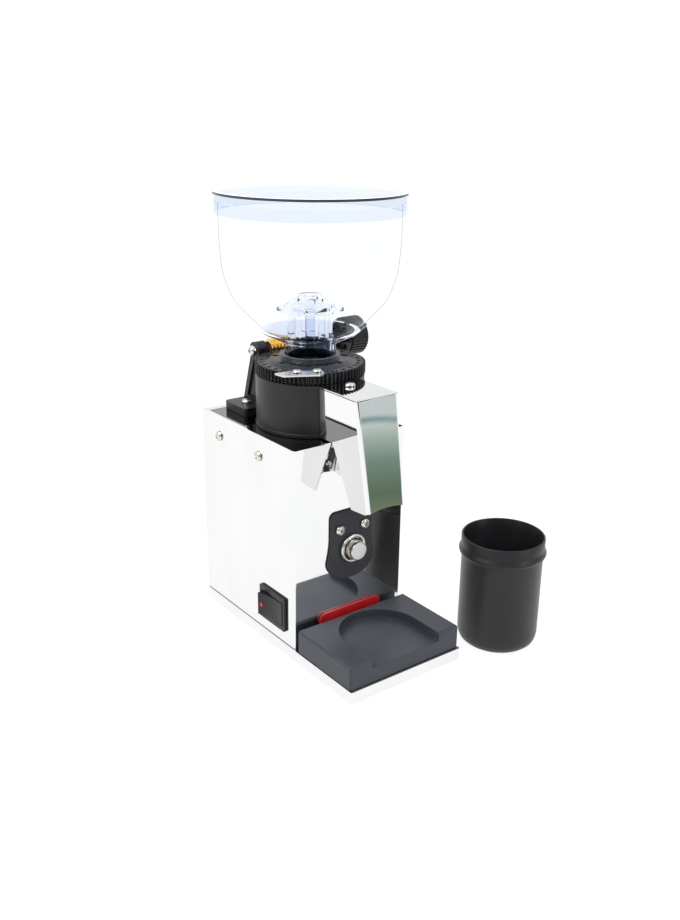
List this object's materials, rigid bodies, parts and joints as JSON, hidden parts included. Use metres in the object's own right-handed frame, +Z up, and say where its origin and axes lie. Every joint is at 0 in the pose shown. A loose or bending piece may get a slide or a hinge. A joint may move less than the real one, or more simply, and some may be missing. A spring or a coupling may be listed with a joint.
{
  "type": "burr coffee grinder",
  "caption": "Upright burr coffee grinder: bright steel box body on a pan, worm-driven adjusting collar, clear hopper, folded chute, start button, side switch, rest tray and dosing cup.",
  "frame": {"origin": "middle of the whole set's footprint, grinder and cup together, on the surface it stands on", "axes": "+Z up, -Y the front with the chute and the start button, +X the operator's right"},
  "size_m": [0.1968, 0.2186, 0.3276],
  "materials": {
    "bright_steel": "mirror polished sheet",
    "zinc_screw": "bright zinc plate",
    "black_plastic": "satin moulded",
    "grey_plate": "fine matt",
    "tray_plastic": "matt, fine layer grain",
    "cup_plastic": "matt, fine rings",
    "brass": "machined",
    "clear_plastic": "clear, faint blue",
    "motor_steel": "plain laminations and castings",
    "burr_steel": "hardened, ground",
    "copper_winding": "varnished",
    "rubber": "matt",
    "terminal_plastic": "natural nylon",
    "red_enamel": "glossy enamel"
  },
  "bodies": {
    "housing": {"base_pan": "bright_steel", "body_shell": "bright_steel", "top_plate": "bright_steel", "rear_cover": "bright_steel", "chute": "bright_steel", "chute_cap": "bright_steel", "shell_screw_left_front": "zinc_screw", "shell_screw_left_rear": "zinc_screw", "shell_screw_right_front": "zinc_screw", "shell_screw_right_rear": "zinc_screw", "chute_screw": "zinc_screw", "plaque_screw_left": "zinc_screw", "plaque_screw_right": "zinc_screw", "bracket_screw_left": "zinc_screw", "bracket_screw_right": "zinc_screw", "button_bezel": "zinc_screw", "button_spring": "zinc_screw", "grinding_chamber": "black_plastic", "worm_bracket": "black_plastic", "rocker_housing": "black_plastic", "run_capacitor": "black_plastic", "microswitch": "black_plastic", "button_plaque": "grey_plate", "motor_upper_bell": "motor_steel", "motor_stator": "motor_steel", "motor_lower_bell": "motor_steel", "upper_bearing": "motor_steel", "lower_bearing": "motor_steel", "foot_front_left": "rubber", "foot_front_right": "rubber", "foot_rear_left": "rubber", "foot_rear_right": "rubber", "cable_gland": "rubber", "terminal_block": "terminal_plastic", "badge_plate": "red_enamel"},
    "rotor": {"motor_shaft": "motor_steel", "rotor_core": "copper_winding", "cooling_fan": "black_plastic", "burr_carrier": "motor_steel", "lower_burr": "burr_steel", "carrier_nut": "zinc_screw"},
    "collar": {"adjusting_collar": "black_plastic", "upper_burr": "burr_steel", "pointer_plate": "zinc_screw", "pointer_screw_1": "zinc_screw", "pointer_screw_2": "zinc_screw"},
    "worm": {"worm_screw": "brass", "worm_knob": "black_plastic", "worm_end_screw": "zinc_screw"},
    "hopper": {"hopper_bowl": "clear_plastic", "finger_guard": "clear_plastic", "guard_bolt": "clear_plastic"},
    "lid": {"hopper_lid": "clear_plastic"},
    "rocker": {"rocker_paddle": "black_plastic"},
    "button": {"start_button": "zinc_screw"},
    "tray": {"drip_tray": "tray_plastic"},
    "cup": {"dosing_cup": "cup_plastic"}
  },
  "joints": [
    {"name": "motor_spin", "type": "hinge", "parent": "housing", "child": "rotor", "pos_m": [-0.03175, 0.03215, 0.1225], "axis": [0, 0, 1], "continuous": true},
    {"name": "collar_turn", "type": "hinge", "parent": "housing", "child": "collar", "pos_m": [-0.03175, 0.03215, 0.2051], "axis": [0, 0, 1], "range_deg": [-60, 60]},
    {"name": "worm_spin", "type": "hinge", "parent": "housing", "child": "worm", "pos_m": [-0.03175, 0.07735, 0.2095], "axis": [1, 0, 0], "range_deg": [-4680, 4680]},
    {"name": "hopper_lift", "type": "slide", "parent": "collar", "child": "hopper", "axis": [0, 0, 1], "range_m": [0, 0.06]},
    {"name": "lid_lift", "type": "slide", "parent": "hopper", "child": "lid", "axis": [0, 0, 1], "range_m": [0, 0.05]},
    {"name": "rocker_tilt", "type": "hinge", "parent": "housing", "child": "rocker", "pos_m": [-0.07945, 0.00855, 0.0343], "axis": [0, 0, 1], "range_deg": [-18, 0]},
    {"name": "start_press", "type": "slide", "parent": "housing", "child": "button", "axis": [0, 1, 0], "range_m": [0, 0.0025], "stiffness_N_per_m": 400, "deforming": ["button_spring"]},
    {"name": "tray_slide", "type": "slide", "parent": "housing", "child": "tray", "axis": [0, -1, 0], "range_m": [0, 0.07]},
    {"name": "cup_lift", "type": "slide", "parent": "housing", "child": "cup", "axis": [0, 0, 1], "range_m": [0, 0.12]}
  ],
  "couplings": [
    {"joint": "worm_spin", "follows": "collar_turn", "ratio": -78}
  ]
}
